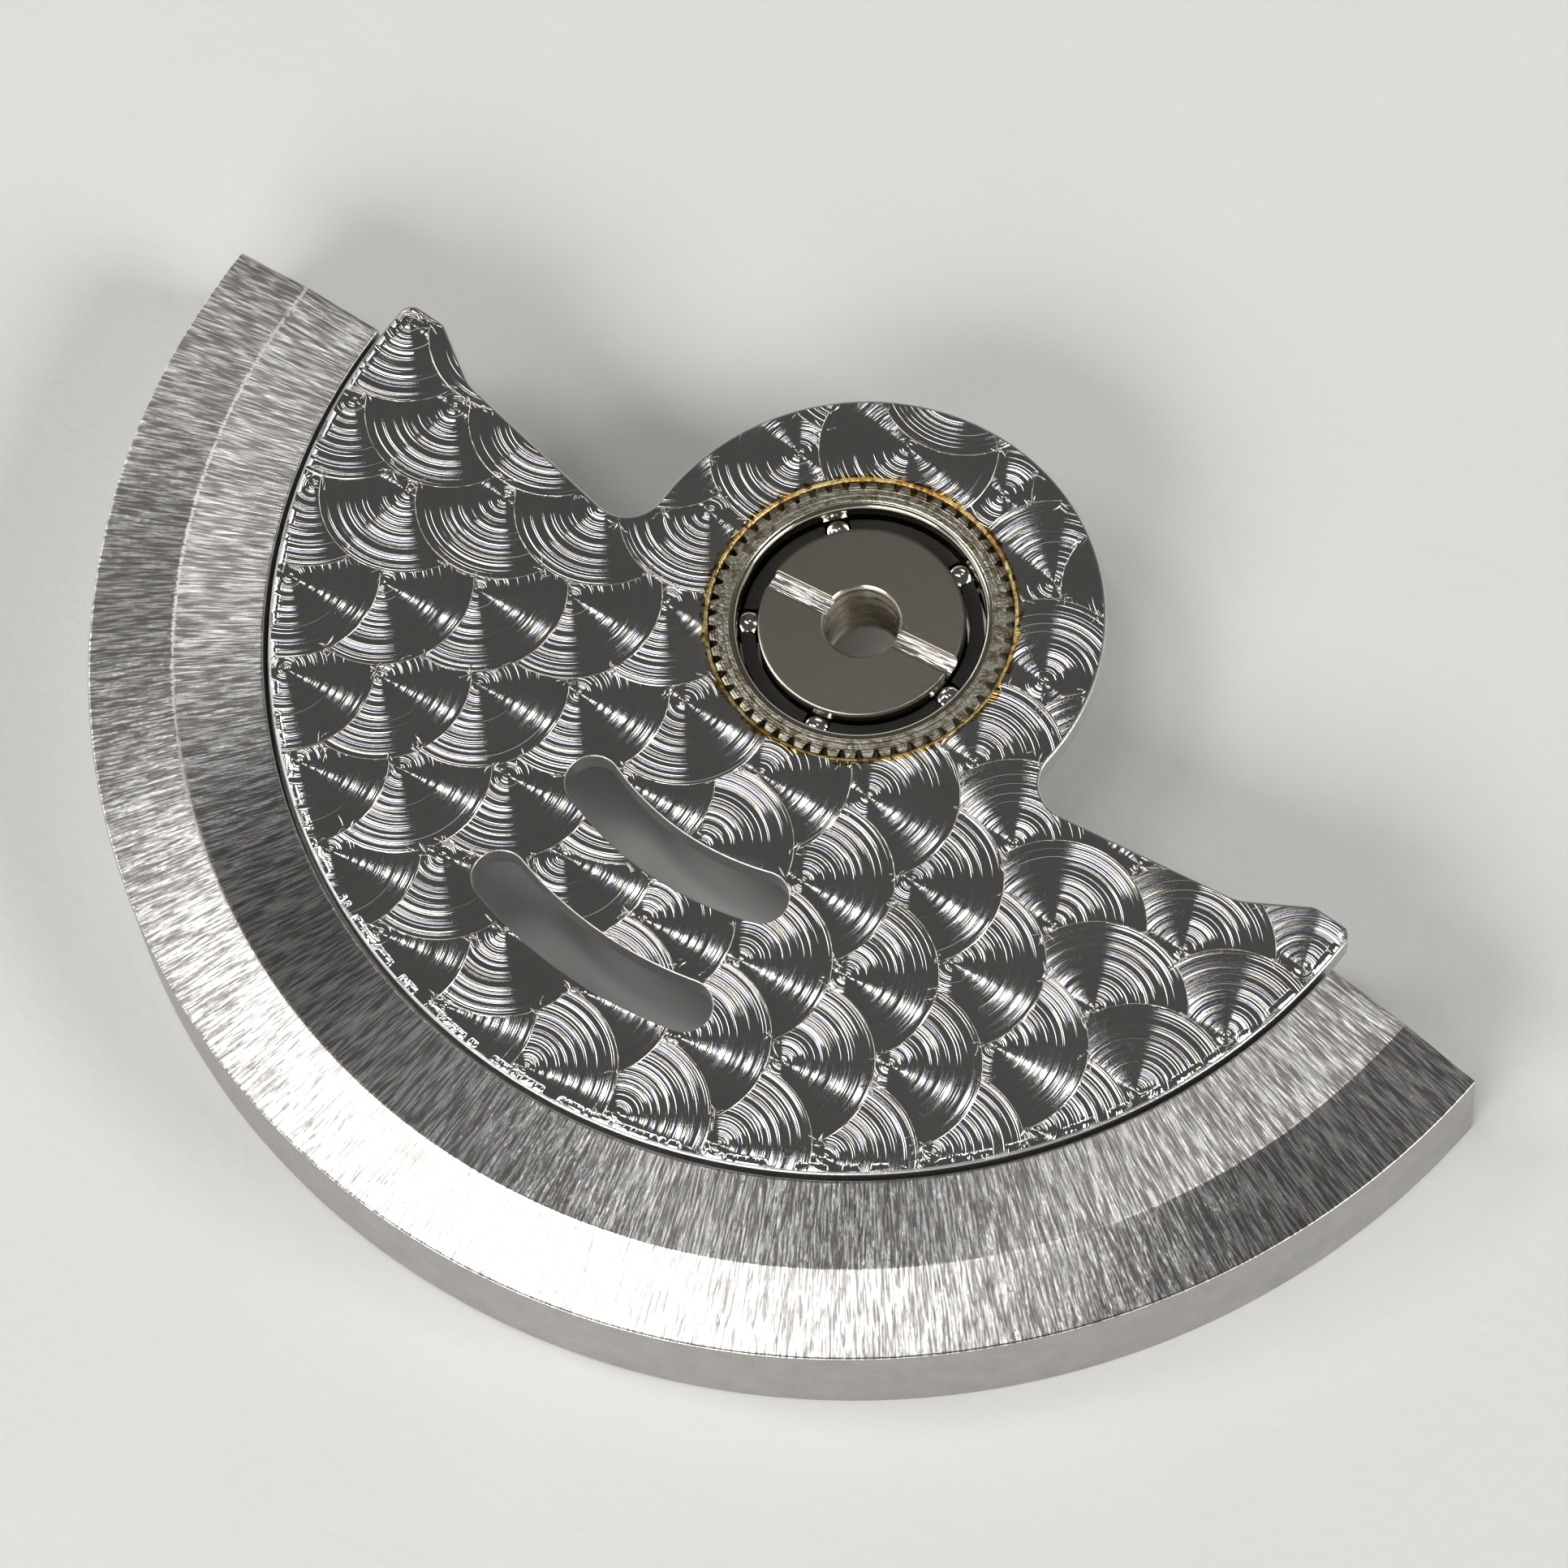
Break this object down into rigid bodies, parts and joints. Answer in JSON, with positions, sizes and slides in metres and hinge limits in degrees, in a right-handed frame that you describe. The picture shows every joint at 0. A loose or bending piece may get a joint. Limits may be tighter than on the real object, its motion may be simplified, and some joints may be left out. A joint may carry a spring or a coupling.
{
  "type": "automatic watch rotor",
  "caption": "Winding rotor of a self-winding watch: a half-ring heavy segment on a thin pearled plate that turns on a toothed ball bearing with a slotted, threaded core.",
  "frame": {"origin": "on the bearing's axis, in the face of the core that seats on the movement", "axes": "+Z along the bearing's axis towards the decorated face; -Y towards the middle of the heavy segment; +X to the right, seen from above"},
  "size_m": [0.0256, 0.0168, 0.0021],
  "materials": {
    "heavy_alloy": "tungsten alloy, radially brushed on the bevel and the band, matt on the wall and below",
    "plated_brass": "bright white plating over brass, with overlapping circular-grained spots on top",
    "ring_steel": "turned steel with a bright bore lip",
    "core_steel": "fine matt turned steel",
    "cage_steel": "dark oiled sheet steel",
    "ball_steel": "polished"
  },
  "bodies": {
    "inner_race": {"bearing_core": "core_steel", "bearing_cone": "core_steel"},
    "rotor": {"rotor_weight": "heavy_alloy", "rotor_plate": "plated_brass", "bearing_outer_ring": "ring_steel"},
    "cage": {"ball_cage": "cage_steel"},
    "ball_1": {"bearing_ball_1": "ball_steel"},
    "ball_2": {"bearing_ball_2": "ball_steel"},
    "ball_3": {"bearing_ball_3": "ball_steel"},
    "ball_4": {"bearing_ball_4": "ball_steel"},
    "ball_5": {"bearing_ball_5": "ball_steel"}
  },
  "joints": [
    {"name": "rotor_spin", "type": "hinge", "parent": "inner_race", "child": "rotor", "pos_m": [0, 0, 0.001], "axis": [0, 0, 1], "continuous": true},
    {"name": "cage_orbit", "type": "hinge", "parent": "inner_race", "child": "cage", "pos_m": [0, 0, 0.001], "axis": [0, 0, 1], "continuous": true},
    {"name": "ball_1_roll", "type": "hinge", "parent": "cage", "child": "ball_1", "pos_m": [0.00188, -0.00013, 0.001], "axis": [0, 0, 1], "continuous": true},
    {"name": "ball_2_roll", "type": "hinge", "parent": "cage", "child": "ball_2", "pos_m": [0.00071, 0.00175, 0.001], "axis": [0, 0, 1], "continuous": true},
    {"name": "ball_3_roll", "type": "hinge", "parent": "cage", "child": "ball_3", "pos_m": [-0.00144, 0.00121, 0.001], "axis": [0, 0, 1], "continuous": true},
    {"name": "ball_4_roll", "type": "hinge", "parent": "cage", "child": "ball_4", "pos_m": [-0.0016, -0.001, 0.001], "axis": [0, 0, 1], "continuous": true},
    {"name": "ball_5_roll", "type": "hinge", "parent": "cage", "child": "ball_5", "pos_m": [0.00045, -0.00183, 0.001], "axis": [0, 0, 1], "continuous": true}
  ],
  "couplings": [
    {"joint": "cage_orbit", "follows": "rotor_spin", "ratio": 0.57958},
    {"joint": "ball_1_roll", "follows": "rotor_spin", "ratio": 3.0621},
    {"joint": "ball_2_roll", "follows": "rotor_spin", "ratio": 3.0621},
    {"joint": "ball_3_roll", "follows": "rotor_spin", "ratio": 3.0621},
    {"joint": "ball_4_roll", "follows": "rotor_spin", "ratio": 3.0621},
    {"joint": "ball_5_roll", "follows": "rotor_spin", "ratio": 3.0621}
  ]
}
